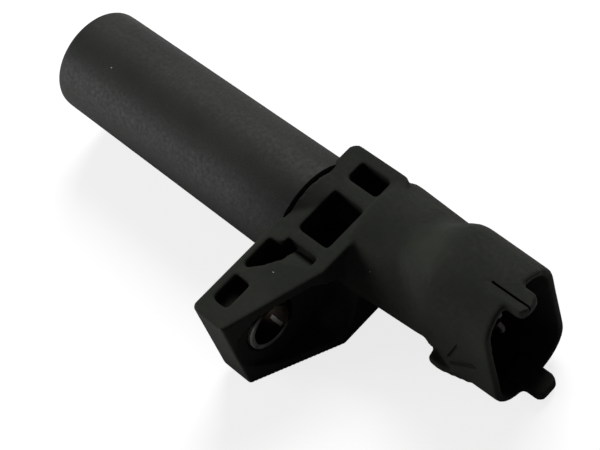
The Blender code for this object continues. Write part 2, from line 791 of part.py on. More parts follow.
def compression_bushing():
    """The rolled steel bushing that takes the bolt's clamping load, with its slit."""
    inner, outer = BUSHING_BORE_RADIUS, BUSHING_RADIUS
    start, end = FLANGE_FRONT, LOBE_REAR + BUSHING_PROUD
    edge = BUSHING_EDGE
    profile = [
        (start, inner + edge),
        (start + edge, inner),
        (end - edge, inner),
        (end, inner + edge),
        (end, outer - edge),
        (end - edge, outer),
        (start + edge, outer),
        (start, outer - edge),
    ]
    bushing = turned("compression_bushing", profile, 56)
    bushing.location = (0, BOLT_Y, BOLT_Z)
    slit = box("bushing_slit", (start - OVERRUN, -BUSHING_SLIT / 2, -outer),
               (end + OVERRUN, BUSHING_SLIT / 2, outer))
    slit.location = ((start + end) / 2, BOLT_Y + outer * sin(pi / 4), BOLT_Z + outer * cos(pi / 4))
    slit.rotation_euler = (-pi / 4, 0, 0)
    cut(bushing, slit)
    return add_part(bushing, ZINC_STEEL)


def pole_core():
    """The soft iron core, whose face shows at the sensing end, with a head on the magnet side."""
    pin = rod("pole_core", CORE_RADIUS, CORE_FACE, CORE_HEAD_START + CORE_HEAD_LENGTH / 2)
    head = rod("core_head", CORE_HEAD_RADIUS, CORE_HEAD_START + CLEARANCE, CORE_HEAD_START + CORE_HEAD_LENGTH)
    return add_part(join(pin, head), BARE_IRON)


def bobbin():
    """The coil former, with the pocket for the core's head, the magnet and the yoke behind it."""
    pocket = CORE_HEAD_RADIUS + CLEARANCE
    profile = [
        (BOBBIN_START, BOBBIN_BORE),
        (CORE_HEAD_START, BOBBIN_BORE),
        (CORE_HEAD_START, pocket),
        (BOBBIN_END, pocket),
        (BOBBIN_END, BOBBIN_RADIUS),
        (COIL_END, BOBBIN_RADIUS),
        (COIL_END, BOBBIN_TUBE),
        (COIL_START, BOBBIN_TUBE),
        (COIL_START, BOBBIN_RADIUS),
        (BOBBIN_START, BOBBIN_RADIUS),
    ]
    former = turned("coil_bobbin", profile, 48)
    for side in (1, -1):
        groove = box(f"lead_groove_{side}",
                     (COIL_END - CLEARANCE, -LEAD_GROOVE / 2, lead_level() - LEAD_GROOVE / 2),
                     (BOBBIN_END + OVERRUN, LEAD_GROOVE / 2, BOBBIN_RADIUS + OVERRUN))
        if side < 0:
            groove.location.z = -groove.location.z
        cut(former, groove)
    return add_part(former, NATURAL_NYLON)


def ring(name, inner, outer, start, end, material, segments=64):
    profile = [(start, inner), (end, inner), (end, outer), (start, outer)]
    return add_part(turned(name, profile, segments), material)


def lead_level():
    return BOBBIN_RADIUS - LEAD_GROOVE / 2


def coil_lead(side, name, index):
    """A coil end that runs along its groove in the bobbin to a terminal's foot."""
    foot = strip_route(index)[0]
    reach = lead_level() * side
    route = [
        (COIL_END + CLEARANCE, 0.0, reach),
        (BOBBIN_END + CLEARANCE, 0.0, reach),
        (BOBBIN_END + LEAD_BEND, BODY_Y * 0.25, reach * 0.9),
        (foot[0] - LEAD_BEND, BODY_Y * 0.9, foot[1] + side * LEAD_RADIUS),
        (foot[0] - CLEARANCE - LEAD_RADIUS, BODY_Y, foot[1]),
    ]
    curve = bpy.data.curves.new(name, "CURVE")
    curve.dimensions = "3D"
    curve.bevel_depth = LEAD_RADIUS
    curve.bevel_resolution = 2
    curve.use_fill_caps = True
    curve.render_resolution_u = 0
    spline = curve.splines.new("POLY")
    spline.points.add(len(route) - 1)
    for point, place in zip(spline.points, route):
        point.co = (*place, 1)
    drawn = bpy.data.objects.new(name, curve)
    return add_part(meshed(drawn), COPPER)


PARTS, CUTTERS, AXIS = start_scene()
BLACK_BARREL = principled("black_barrel_nylon", (0.026, 0.028, 0.024), 0.5)
BLACK_BODY = principled("black_body_nylon", (0.022, 0.023, 0.020), 0.48)
NATURAL_NYLON = principled("natural_nylon", (0.55, 0.5, 0.38), 0.55)
ZINC_STEEL = principled("zinc_steel", (0.6, 0.6, 0.58), 0.35, 1.0)
BARE_IRON = principled("bare_iron", (0.35, 0.34, 0.33), 0.4, 1.0)
MAGNET_GREY = principled("magnet_grey", (0.12, 0.12, 0.13), 0.6, 0.4)
TINNED = principled("tinned_brass", (0.72, 0.7, 0.64), 0.3, 1.0)
COPPER = principled("enamelled_copper", (0.6, 0.25, 0.1), 0.35, 1.0)
AMBER_TAPE = principled("amber_tape", (0.5, 0.3, 0.06), 0.4)

barrel_cup()
body_moulding()
compression_bushing()
pole_core()
bobbin()
ring("coil_winding", WINDING_INNER, WINDING_OUTER, COIL_START + CLEARANCE, COIL_END - CLEARANCE, COPPER)
ring("winding_tape", TAPE_INNER, TAPE_INNER + TAPE_THICKNESS, COIL_START + CLEARANCE, COIL_END - CLEARANCE,
     AMBER_TAPE)
magnet = rod("bias_magnet", CORE_HEAD_RADIUS, MAGNET_START, MAGNET_START + MAGNET_LENGTH)
add_part(bevel(magnet, MAGNET_EDGE), MAGNET_GREY)
yoke = rod("yoke_disc", CORE_HEAD_RADIUS, YOKE_START, YOKE_START + YOKE_LENGTH)
add_part(bevel(yoke, MAGNET_EDGE), BARE_IRON)
terminal_carrier()
for place, label in enumerate(("upper", "middle", "lower")):
    terminal(place, f"{label}_terminal")
coil_lead(1, "upper_coil_lead", 0)
coil_lead(-1, "lower_coil_lead", 2)
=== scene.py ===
"""Crankshaft position sensor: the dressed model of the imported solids, in their own frame.

The barrel runs along X, the plug opens towards +X and the flange's cored side faces +Z.
"""

from math import cos, pi, radians, sin

import bpy
from mathutils import Matrix, Vector


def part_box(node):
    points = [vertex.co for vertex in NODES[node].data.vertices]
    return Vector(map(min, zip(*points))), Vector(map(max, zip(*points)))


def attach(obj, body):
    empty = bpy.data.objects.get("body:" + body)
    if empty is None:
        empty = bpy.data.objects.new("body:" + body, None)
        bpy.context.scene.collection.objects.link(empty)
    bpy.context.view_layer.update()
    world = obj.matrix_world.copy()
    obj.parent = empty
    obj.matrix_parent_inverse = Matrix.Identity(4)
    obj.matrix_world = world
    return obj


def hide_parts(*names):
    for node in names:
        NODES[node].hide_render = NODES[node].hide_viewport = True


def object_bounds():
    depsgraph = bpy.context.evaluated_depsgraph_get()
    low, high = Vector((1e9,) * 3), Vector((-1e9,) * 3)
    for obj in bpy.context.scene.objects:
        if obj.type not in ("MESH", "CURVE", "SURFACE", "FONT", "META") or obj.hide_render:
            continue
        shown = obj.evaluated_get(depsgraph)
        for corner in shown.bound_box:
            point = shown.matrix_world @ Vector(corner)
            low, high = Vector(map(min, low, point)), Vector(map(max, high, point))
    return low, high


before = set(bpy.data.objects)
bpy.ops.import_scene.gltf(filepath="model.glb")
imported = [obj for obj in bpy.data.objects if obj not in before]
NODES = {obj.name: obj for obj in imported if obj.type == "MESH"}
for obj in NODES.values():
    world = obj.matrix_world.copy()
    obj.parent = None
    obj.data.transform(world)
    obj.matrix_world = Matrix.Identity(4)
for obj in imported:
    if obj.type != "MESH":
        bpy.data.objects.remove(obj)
MM = 0.001
cad_box = [list(corner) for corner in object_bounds()]


# The table and the light. A white sheet lies under the part in a dim grey room, with one soft lamp
# low at the lobe's side, towards the sensing tip, and one behind and above. The sheet shows white
# to the camera and, where nothing stands close to it, in mirrored views. It keeps a soft shadow.

SHEET_SIZE = 20.0
SHEET_DROP = 0.1 * MM
SHEET_GLOW = 0.8
SHEET_SHADE = 0.3
SHEET_UNSEEN = 0.08
OPEN_REACH = 60 * MM
OPEN_POWER = 8.0
ROOM_STRENGTH = 0.06
PART_MIDDLE = Vector((0.055, -0.002, 0.0))


def maths(tree, operation, *values, clamp=False):
    """A Math node whose inputs are sockets or plain numbers."""
    made = tree.nodes.new("ShaderNodeMath")
    made.operation = operation
    made.use_clamp = clamp
    for socket, value in zip(made.inputs, values):
        if isinstance(value, (int, float)):
            socket.default_value = value
        else:
            tree.links.new(value, socket)
    return made.outputs[0]


def diffuse(tree, grey):
    """A plain matt grey shader."""
    made = tree.nodes.new("ShaderNodeBsdfDiffuse")
    made.inputs["Color"].default_value = (grey, grey, grey, 1.0)
    return made.outputs[0]


def soft_lamp(name, direction, distance, size, power):
    """A square soft lamp that stands off from the part's middle and faces it."""
    towards_lamp = Vector(direction).normalized()
    bpy.ops.object.light_add(type="AREA", location=PART_MIDDLE + towards_lamp * distance)
    lamp = bpy.context.object
    lamp.name = name
    lamp.data.shape = "SQUARE"
    lamp.data.size = size
    lamp.data.energy = power
    lamp.rotation_euler = towards_lamp.to_track_quat("Z", "Y").to_euler()


floor_z = cad_box[0][2] - SHEET_DROP
bpy.ops.mesh.primitive_plane_add(size=SHEET_SIZE, location=(PART_MIDDLE.x, 0.0, floor_z))
table = bpy.context.object
table.name = "table"
paper = bpy.data.materials.new("white_paper")
paper.use_nodes = True
tree = paper.node_tree
tree.nodes.clear()
glow = tree.nodes.new("ShaderNodeEmission")
glow.inputs["Strength"].default_value = SHEET_GLOW
white = tree.nodes.new("ShaderNodeAddShader")
rays = tree.nodes.new("ShaderNodeLightPath")
# Painted shade: in mirrored views the sheet's white gives way to dim grey where the part stands
# close.
openness = tree.nodes.new("ShaderNodeAmbientOcclusion")
openness.inputs["Distance"].default_value = OPEN_REACH
well_open = maths(tree, "POWER", openness.outputs["AO"], OPEN_POWER)
mirrored = maths(tree, "MULTIPLY", rays.outputs["Is Glossy Ray"], well_open)
seen = maths(tree, "MAXIMUM", rays.outputs["Is Camera Ray"], mirrored)
seen_through_too = maths(tree, "MAXIMUM", seen, rays.outputs["Is Transmission Ray"])
seen_or_not = tree.nodes.new("ShaderNodeMixShader")
surface = tree.nodes.new("ShaderNodeOutputMaterial")
tree.links.new(glow.outputs[0], white.inputs[0])
tree.links.new(diffuse(tree, SHEET_SHADE), white.inputs[1])
tree.links.new(seen_through_too, seen_or_not.inputs["Fac"])
tree.links.new(diffuse(tree, SHEET_UNSEEN), seen_or_not.inputs[1])
tree.links.new(white.outputs[0], seen_or_not.inputs[2])
tree.links.new(seen_or_not.outputs[0], surface.inputs["Surface"])
table.data.materials.append(paper)

room = bpy.data.worlds.new("room")
bpy.context.scene.world = room
room.use_nodes = True
room_light = room.node_tree.nodes["Background"]
room_light.inputs["Color"].default_value = (1.0, 1.0, 1.0, 1.0)
room_light.inputs["Strength"].default_value = ROOM_STRENGTH

soft_lamp("lamp_lobe_side", (-0.68, -0.70, 0.15), distance=0.6, size=0.3, power=3.0)
soft_lamp("lamp_behind", (-0.3, 0.62, 0.72), distance=0.7, size=0.35, power=4.8)
bpy.context.scene.view_settings.view_transform = "Standard"


# The camera. It looks down on the part from the plug's end and the lobe's side, with the
# long narrow view of a close portrait lens, turned so that the barrel runs up to the left.

CAMERA_TARGET = Vector((0.04995, -0.00288, 0.0))
CAMERA_DISTANCE = 0.2393
CAMERA_LENS = 96.0
CAMERA_SENSOR = 36.0
CAMERA_NEAREST = 0.01
azimuth, elevation, roll = radians(-26.95), radians(55.99), radians(22.55)

towards = Vector((cos(elevation) * cos(azimuth), cos(elevation) * sin(azimuth), sin(elevation)))
sight = -towards
level_right = sight.cross(Vector((0, 0, 1))).normalized()
level_up = level_right.cross(sight)
camera_right = cos(roll) * level_right - sin(roll) * level_up
camera_up = sin(roll) * level_right + cos(roll) * level_up
bpy.ops.object.camera_add()
camera = bpy.context.object
camera.name = "camera"
turn = Matrix((camera_right, camera_up, towards)).transposed().to_4x4()
camera.matrix_world = Matrix.Translation(CAMERA_TARGET + towards * CAMERA_DISTANCE) @ turn
camera.data.lens = CAMERA_LENS
camera.data.sensor_width = CAMERA_SENSOR
camera.data.clip_start = CAMERA_NEAREST
bpy.context.scene.camera = camera


# The moulding: bolt flange, rear body, plug hood, tongue, tab and fin in one piece of black
# glass-filled nylon, moulded round the bushing and the terminals. Its edges are softly rounded. A
# groove runs along the tongue, and over the fin the hood has a shallow three-cornered pocket.

WELD = 0.002 * MM
BODY_VOXEL = 0.3 * MM
BODY_ROUNDING = 4
ROUNDING_FACTOR = 0.5
BODY_SMOOTH_ANGLE = radians(60)
TONGUE_GROOVE = ((85.7, 1.78, 13.4), (92.2, 2.12, 15.5))
FIN_POCKET = [
    ((78.6, -8.0, -7.4), (78.6, -4.45, -7.4)),
    ((83.2, -8.0, 3.4), (83.2, -4.35, 3.4)),
    ((86.4, -8.0, -0.4), (86.4, -3.9, -0.4)),
]
BODY_COLOUR = (0.0120, 0.0140, 0.0105)
BODY_CLOUDS = (0.0180, 0.0200, 0.0155)
EDGE_WEAR_AND_HIGHLIGHT = (0.045, 0.047, 0.042)
DUST = (0.3, 0.3, 0.28)
EDGE_STEEPNESS = 14.0
SPECK_SCALE = 600.0
SPECK_RADIUS = 0.11
SPECK_RAGGED = 0.08
PIT_HEIGHT = 1.5
NOISE_MIDDLE = 0.5
GRAIN_SPREAD = 0.3
PLASTIC_BUMP = 0.5
COLOUR, NUMBER = "NodeSocketColor", "NodeSocketFloat"


def node_group(name, inputs, outputs):
    """An empty shader node group, with its input and output nodes."""
    group = bpy.data.node_groups.new(name, "ShaderNodeTree")
    for way, sockets in (("INPUT", inputs), ("OUTPUT", outputs)):
        for label, kind in sockets.items():
            group.interface.new_socket(label, in_out=way, socket_type=kind)
    return group, group.nodes.new("NodeGroupInput"), group.nodes.new("NodeGroupOutput")


def placed(tree):
    """The object's own coordinates."""
    return tree.nodes.new("ShaderNodeTexCoord").outputs["Object"]


def noise(tree, source, scale, detail=4.0, rough=0.55):
    """Soft noise from 0 to 1 at a scale in lumps per metre."""
    made = tree.nodes.new("ShaderNodeTexNoise")
    made.inputs["Scale"].default_value = scale
    made.inputs["Detail"].default_value = detail
    made.inputs["Roughness"].default_value = rough
    tree.links.new(source, made.inputs["Vector"])
    return made.outputs["Fac"]


def varied(tree, source, start, spread):
    """A start value, plus the source times a spread."""
    return maths(tree, "MULTIPLY_ADD", source, spread, start)


def ramp(tree, source, low, high):
    """0 below low, 1 above high, and smooth between."""
    made = tree.nodes.new("ShaderNodeMapRange")
    made.interpolation_type = "SMOOTHSTEP"
    made.inputs["From Min"].default_value = low
    made.inputs["From Max"].default_value = high
    tree.links.new(source, made.inputs["Value"])
    return made.outputs["Result"]


def colour_mix(tree, factor, first, second):
    """A colour between two, each a socket or a plain (r, g, b)."""
    made = tree.nodes.new("ShaderNodeMix")
    made.data_type = "RGBA"
    tree.links.new(factor, made.inputs["Factor"])
    for label, value in (("A", first), ("B", second)):
        if isinstance(value, tuple):
            made.inputs[label].default_value = (*value, 1.0)
        else:
            tree.links.new(value, made.inputs[label])
    return made.outputs["Result"]


# A fine grain with shallow pits, and faint clouds from the glass.
grain, given, put = node_group(
    "moulded_grain",
    {"Colour": COLOUR, "Cloud Colour": COLOUR, "Roughness": NUMBER, "Roughness Spread": NUMBER},
    {"Colour": COLOUR, "Roughness": NUMBER, "Height": NUMBER},
)
place = placed(grain)
fine = noise(grain, place, scale=5200.0, detail=3.0)
pits = noise(grain, place, scale=1500.0)
lumps = noise(grain, place, scale=90.0, detail=5.0, rough=0.6)
clouds = ramp(grain, lumps, low=0.35, high=0.65)
clouded = colour_mix(grain, clouds, given.outputs["Colour"], given.outputs["Cloud Colour"])
uneven = maths(grain, "SUBTRACT", pits, NOISE_MIDDLE)
rough = varied(grain, uneven, given.outputs["Roughness"], given.outputs["Roughness Spread"])
grain.links.new(clouded, put.inputs["Colour"])
grain.links.new(rough, put.inputs["Roughness"])
grain.links.new(maths(grain, "MULTIPLY_ADD", pits, PIT_HEIGHT, fine), put.inputs["Height"])

# A paler colour on convex edges, broken up by noise: partly rubbed wear and partly a painted
# highlight along the edges.
edge_wear_and_highlight, given, put = node_group(
    "rubbed_and_highlit_edges",
    {"Colour": COLOUR, "Rubbed And Highlight Colour": COLOUR, "Start": NUMBER, "Amount": NUMBER},
    {"Colour": COLOUR},
)
place = placed(edge_wear_and_highlight)
convex = edge_wear_and_highlight.nodes.new("ShaderNodeNewGeometry").outputs["Pointiness"]
past_start = maths(edge_wear_and_highlight, "SUBTRACT", convex, given.outputs["Start"])
edge = maths(edge_wear_and_highlight, "MULTIPLY", past_start, EDGE_STEEPNESS, clamp=True)
patches = noise(edge_wear_and_highlight, place, scale=700.0, detail=6.0, rough=0.7)
broken = ramp(edge_wear_and_highlight, patches, low=0.3, high=0.7)
worn_and_highlit = maths(edge_wear_and_highlight, "MULTIPLY", maths(edge_wear_and_highlight, "MULTIPLY", edge, broken), given.outputs["Amount"])
rubbed_and_highlit = colour_mix(edge_wear_and_highlight, worn_and_highlit, given.outputs["Colour"], given.outputs["Rubbed And Highlight Colour"])
edge_wear_and_highlight.links.new(rubbed_and_highlit, put.inputs["Colour"])

# Small ragged specks of dust in a share of the cells.
dust, given, put = node_group(
    "dust_specks",
    {"Colour": COLOUR, "Speck Colour": COLOUR, "Share": NUMBER},
    {"Colour": COLOUR},
)
place = placed(dust)
cells = dust.nodes.new("ShaderNodeTexVoronoi")
cells.inputs["Scale"].default_value = SPECK_SCALE
dust.links.new(place, cells.inputs["Vector"])
ragged = noise(dust, place, scale=6000.0, detail=2.0)
ragged_distance = maths(dust, "MULTIPLY_ADD", ragged, SPECK_RAGGED, cells.outputs["Distance"])
near = maths(dust, "LESS_THAN", ragged_distance, SPECK_RADIUS)
pick = dust.nodes.new("ShaderNodeSeparateColor")
dust.links.new(cells.outputs["Color"], pick.inputs["Color"])
chosen = maths(dust, "LESS_THAN", pick.outputs["Red"], given.outputs["Share"])
speck = maths(dust, "MULTIPLY", near, chosen)
dusty = colour_mix(dust, speck, given.outputs["Colour"], given.outputs["Speck Colour"])
dust.links.new(dusty, put.inputs["Colour"])


def place_group(material, group, values, sources=()):
    """A node group in a material, with its own numbers, colours and linked inputs."""
    tree = material.node_tree
    made = tree.nodes.new("ShaderNodeGroup")
    made.node_tree = group
    for label, value in values.items():
        made.inputs[label].default_value = (*value, 1.0) if isinstance(value, tuple) else value
    for label, source in dict(sources).items():
        tree.links.new(source, made.inputs[label])
    return made


def new_material(name, metallic=0.0):
    """An empty material, with its node tree and its shader."""
    material = bpy.data.materials.new(name)
    material.use_nodes = True
    shader = material.node_tree.nodes["Principled BSDF"]
    shader.inputs["Metallic"].default_value = metallic
    return material, material.node_tree, shader


def feed(tree, shader, colour, roughness, height, relief, strength=1.0):
    """Gives a shader its colour, its roughness and the bumps of a height."""
    tree.links.new(colour, shader.inputs["Base Color"])
    tree.links.new(roughness, shader.inputs["Roughness"])
    bumps = tree.nodes.new("ShaderNodeBump")
    bumps.inputs["Distance"].default_value = relief
    bumps.inputs["Strength"].default_value = strength
    tree.links.new(height, bumps.inputs["Height"])
    tree.links.new(bumps.outputs["Normal"], shader.inputs["Normal"])


def moulded_plastic(name, colour, clouds, shine, roughness, relief, edge_start, edge_amount,
                    dust_share):
    """Moulded nylon: grain, rubbed edges with a painted edge highlight, and dust over one colour.
    """
    material, tree, shader = new_material(name)
    shader.inputs["Specular IOR Level"].default_value = shine
    skin = place_group(material, grain, {"Colour": colour, "Cloud Colour": clouds,
                                         "Roughness": roughness,
                                         "Roughness Spread": GRAIN_SPREAD})
    edges = place_group(material, edge_wear_and_highlight, {"Rubbed And Highlight Colour": EDGE_WEAR_AND_HIGHLIGHT, "Start": edge_start,
                                         "Amount": edge_amount},
                        {"Colour": skin.outputs["Colour"]})
    specks = place_group(material, dust, {"Speck Colour": DUST, "Share": dust_share},
                         {"Colour": edges.outputs["Colour"]})
    feed(tree, shader, specks.outputs["Colour"], skin.outputs["Roughness"],
         skin.outputs["Height"], relief, PLASTIC_BUMP)
    return material


def select_only(piece):
    """Makes a piece the one that the next operators work on."""
    bpy.ops.object.select_all(action="DESELECT")
    piece.select_set(True)
    bpy.context.view_layer.objects.active = piece


def copy_of(node, name):
    """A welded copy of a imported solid, to be refined."""
    piece = NODES[node].copy()
    piece.data = NODES[node].data.copy()
    piece.parent = None
    piece.name = name
    piece.data.name = name
    for key in list(piece.keys()):
        del piece[key]
    bpy.context.scene.collection.objects.link(piece)
    select_only(piece)
    bpy.ops.object.mode_set(mode="EDIT")
    bpy.ops.mesh.select_all(action="SELECT")
    bpy.ops.mesh.remove_doubles(threshold=WELD)
    bpy.ops.object.mode_set(mode="OBJECT")
    return piece


def apply_modifiers(piece):
    """Makes all modifiers of a piece part of its mesh, and leaves the piece selected."""
    select_only(piece)
    for modifier in list(piece.modifiers):
        bpy.ops.object.modifier_apply(modifier=modifier.name)


def finish_piece(piece, material, slot, *replaced):
    """Gives a finished piece its material, hides the solids it replaces and hangs it on the root
    body.
    """
    piece.data.materials.clear()
    piece.data.materials.append(material)
    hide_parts(*replaced)
    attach(piece, "root")


def carve(piece, cutter):
    """Cuts a cutter out of a piece and removes it."""
    away = piece.modifiers.new("carve", "BOOLEAN")
    away.operation = "DIFFERENCE"
    away.solver = "EXACT"
    away.object = cutter
    apply_modifiers(piece)
    bpy.data.objects.remove(cutter, do_unlink=True)


def slab(low, high):
    """A box between two corners, in millimetres."""
    low, high = Vector(low) * MM, Vector(high) * MM
    bpy.ops.mesh.primitive_cube_add(size=1.0, location=(low + high) / 2)
    made = bpy.context.object
    made.scale = high - low
    bpy.ops.object.transform_apply(location=True, rotation=True, scale=True)
    return made


def three_sided(edges):
    """A solid between three edges, each with an outer and an inner end in millimetres."""
    bpy.ops.mesh.primitive_cylinder_add(vertices=3)
    made = bpy.context.object
    ends = [end for edge in edges for end in edge]
    for corner, end in zip(made.data.vertices, ends):
        corner.co = [along * MM for along in end]
    bpy.ops.object.mode_set(mode="EDIT")
    bpy.ops.mesh.select_all(action="SELECT")
    bpy.ops.mesh.normals_make_consistent(inside=False)
    bpy.ops.object.mode_set(mode="OBJECT")
    return made


body = copy_of("body_moulding", "body_shell")
remesh = body.modifiers.new("remesh", "REMESH")
remesh.mode = "VOXEL"
remesh.voxel_size = BODY_VOXEL
remesh.use_smooth_shade = True
smooth = body.modifiers.new("smooth", "SMOOTH")
smooth.iterations = BODY_ROUNDING
smooth.factor = ROUNDING_FACTOR
apply_modifiers(body)
carve(body, slab(*TONGUE_GROOVE))
carve(body, three_sided(FIN_POCKET))
bpy.ops.object.shade_smooth_by_angle(angle=BODY_SMOOTH_ANGLE)
body_nylon = moulded_plastic("body_nylon", BODY_COLOUR, BODY_CLOUDS, shine=0.15, roughness=0.76,
                             relief=0.03 * MM, edge_start=0.53, edge_amount=0.3, dust_share=0.03)
finish_piece(body, body_nylon, "body_plastic", "body_moulding")


# The sensing barrel: a cup of the same nylon, moulded on its own and slipped over the body's
# spigot. Its tip has a soft shoulder and a hole for the core, and the cup widens a little
# towards the flange so that it leaves its mould. The profile is (x, radius) in millimetres.

BARREL_COLOUR = (0.0080, 0.0098, 0.0073)
BARREL_CLOUDS = (0.0120, 0.0141, 0.0107)
BARREL_SIDES = 144
TURNED_SMOOTH_ANGLE = radians(40)
BARREL_PROFILE = [
    (0.0, 2.7), (0.0, 8.35), (0.04, 8.52), (0.16, 8.66), (0.36, 8.77), (0.7, 8.83),
    (1.4, 8.85), (2.6, 8.86), (10.0, 8.87), (25.0, 8.91), (40.0, 8.95), (51.1, 9.0),
    (51.17, 8.97), (51.2, 8.9), (51.2, 7.5), (51.0, 7.3), (40.0, 7.3), (20.0, 7.3),
    (2.2, 7.3), (1.6, 7.0), (1.4, 6.6), (1.4, 2.6), (1.3, 2.5), (0.2, 2.5),
]


def turned_piece(name, profile, sides):
    """A ring drawn out along a closed profile of (x, radius) in millimetres, about X."""
    x, radius = profile[0]
    bpy.ops.mesh.primitive_circle_add(vertices=sides, radius=radius * MM, location=(x * MM, 0, 0),
                                      rotation=(0, pi / 2, 0))
    piece = bpy.context.object
    piece.name = name
    piece.data.name = name
    bpy.ops.object.transform_apply(location=True, rotation=True, scale=True)
    bpy.ops.object.mode_set(mode="EDIT")
    bpy.ops.mesh.select_all(action="SELECT")
    for next_x, next_radius in [*profile[1:], profile[0]]:
        step = ((next_x - x) * MM, 0, 0)
        bpy.ops.mesh.extrude_edges_move(TRANSFORM_OT_translate={"value": step})
        grow = next_radius / radius
        bpy.ops.transform.resize(value=(1, grow, grow), center_override=(next_x * MM, 0, 0))
        x, radius = next_x, next_radius
    bpy.ops.mesh.select_all(action="SELECT")
    bpy.ops.mesh.remove_doubles(threshold=WELD)
    bpy.ops.mesh.normals_make_consistent(inside=False)
    bpy.ops.object.mode_set(mode="OBJECT")
    bpy.ops.object.shade_smooth_by_angle(angle=TURNED_SMOOTH_ANGLE)
    return piece


barrel = turned_piece("barrel_shell", BARREL_PROFILE, BARREL_SIDES)
barrel_nylon = moulded_plastic("barrel_nylon", BARREL_COLOUR, BARREL_CLOUDS, shine=0.3,
                               roughness=0.68, relief=0.03 * MM, edge_start=0.56,
                               edge_amount=0.3, dust_share=0.05)
finish_piece(barrel, barrel_nylon, "barrel_plastic", "barrel_cup")


# The compression bushing: a strip of zinc-plated steel rolled into a ring, which the nylon
# grips from outside. It takes the bolt's clamping load. Its slit faces up and to the barrel.
# The bore and that side are painted dark as shade, and a painted highlight lies as a streak low in
# the bore.

BUSHING_LOW, BUSHING_HIGH = (Vector(corner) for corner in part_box("compression_bushing"))
BUSHING_MIDDLE = (BUSHING_LOW + BUSHING_HIGH) / 2
BUSHING_LENGTH = BUSHING_HIGH.x - BUSHING_LOW.x
BUSHING_OUTER = 4.2 * MM
BUSHING_WALL = 0.9 * MM
BUSHING_EDGE = 0.12 * MM
BUSHING_EDGE_STEPS = 3
BUSHING_STEPS = 96
BORE_REACH = BUSHING_OUTER - BUSHING_WALL + 0.06 * MM
SLIT_HALF = radians(6.5)
SLIT_TURN = radians(45)
STREAK_BEARING = radians(-60)
STREAK_HALF_ANGLE = radians(8)
STREAK_RAGGED = 0.08
STREAK_LENGTH = 2.3 * MM
STREAK_PLACE = 1.75 * MM
SHADED_SIDE = (0.85, 0.53)
SHADE_THINS, SHADE_FULL = -1.2 * MM, 1.8 * MM
ZINC, STAINED_ZINC = (0.21, 0.21, 0.20), (0.13, 0.12, 0.11)
PAINTED_SHADE, DEEP_PAINTED_SHADE = (0.020, 0.014, 0.011), (0.010, 0.007, 0.005)
PAINTED_GLINT = (0.13, 0.127, 0.123)


def drawn_out(tree, place, along):
    """Coordinates that change more slowly along X, for marks drawn out that way."""
    made = tree.nodes.new("ShaderNodeMapping")
    made.inputs["Scale"].default_value = (along, 1.0, 1.0)
    tree.links.new(place, made.inputs["Vector"])
    return made.outputs["Vector"]


strip_place = BUSHING_MIDDLE + Vector((0, 0, BUSHING_OUTER - BUSHING_WALL / 2))
bpy.ops.mesh.primitive_plane_add(size=1.0, rotation=(pi / 2, 0, 0), location=strip_place)
bushing = bpy.context.object
bushing.name = "bushing_ring"
bushing.data.name = "bushing_ring"
bushing.scale = (BUSHING_LENGTH, BUSHING_WALL, 1.0)
bpy.ops.object.transform_apply(location=True, rotation=True, scale=True)
bpy.ops.object.mode_set(mode="EDIT")
bpy.ops.mesh.select_all(action="SELECT")
bpy.ops.mesh.bevel(offset=BUSHING_EDGE, segments=BUSHING_EDGE_STEPS, affect="VERTICES")
bpy.ops.transform.rotate(value=SLIT_TURN - SLIT_HALF, orient_axis="X",
                         center_override=tuple(BUSHING_MIDDLE))
bpy.ops.mesh.spin(steps=BUSHING_STEPS, angle=2 * pi - 2 * SLIT_HALF,
                  center=tuple(BUSHING_MIDDLE), axis=(1, 0, 0))
bpy.ops.mesh.select_all(action="SELECT")
bpy.ops.mesh.normals_make_consistent(inside=False)
bpy.ops.object.mode_set(mode="OBJECT")
bpy.ops.object.shade_smooth_by_angle(angle=TURNED_SMOOTH_ANGLE)

zinc, tree, shader = new_material("zinc_plating", metallic=1.0)
place = placed(tree)
centred = tree.nodes.new("ShaderNodeMapping")
centred.inputs["Location"].default_value = -BUSHING_MIDDLE
tree.links.new(place, centred.inputs["Vector"])
axes = tree.nodes.new("ShaderNodeSeparateXYZ")
tree.links.new(centred.outputs["Vector"], axes.inputs["Vector"])
x, y, z = (axes.outputs[axis] for axis in "XYZ")
from_axis = maths(tree, "SQRT", maths(tree, "MULTIPLY_ADD", z, z, maths(tree, "MULTIPLY", y, y)))
in_bore = maths(tree, "LESS_THAN", from_axis, BORE_REACH)
bearing = maths(tree, "ARCTAN2", z, y)
off_streak = maths(tree, "ABSOLUTE", maths(tree, "SUBTRACT", bearing, STREAK_BEARING))
off_middle = maths(tree, "ABSOLUTE", maths(tree, "SUBTRACT", x, STREAK_PLACE))
ragged = noise(tree, place, scale=2500.0, detail=3.0)
ragged_off = maths(tree, "MULTIPLY_ADD", ragged, STREAK_RAGGED, off_streak)
narrow = maths(tree, "LESS_THAN", ragged_off, STREAK_HALF_ANGLE)
short = maths(tree, "LESS_THAN", off_middle, STREAK_LENGTH / 2)
# Painted highlight: a narrow bright streak low in the bore stands for a glint of light.
streak = maths(tree, "MULTIPLY", maths(tree, "MULTIPLY", narrow, short), in_bore)
along_bore = drawn_out(tree, place, along=0.15)
scratches = noise(tree, along_bore, scale=2600.0, detail=5.0, rough=0.65)
blots = noise(tree, place, scale=420.0, detail=5.0, rough=0.6)
stains = ramp(tree, blots, low=0.4, high=0.62)
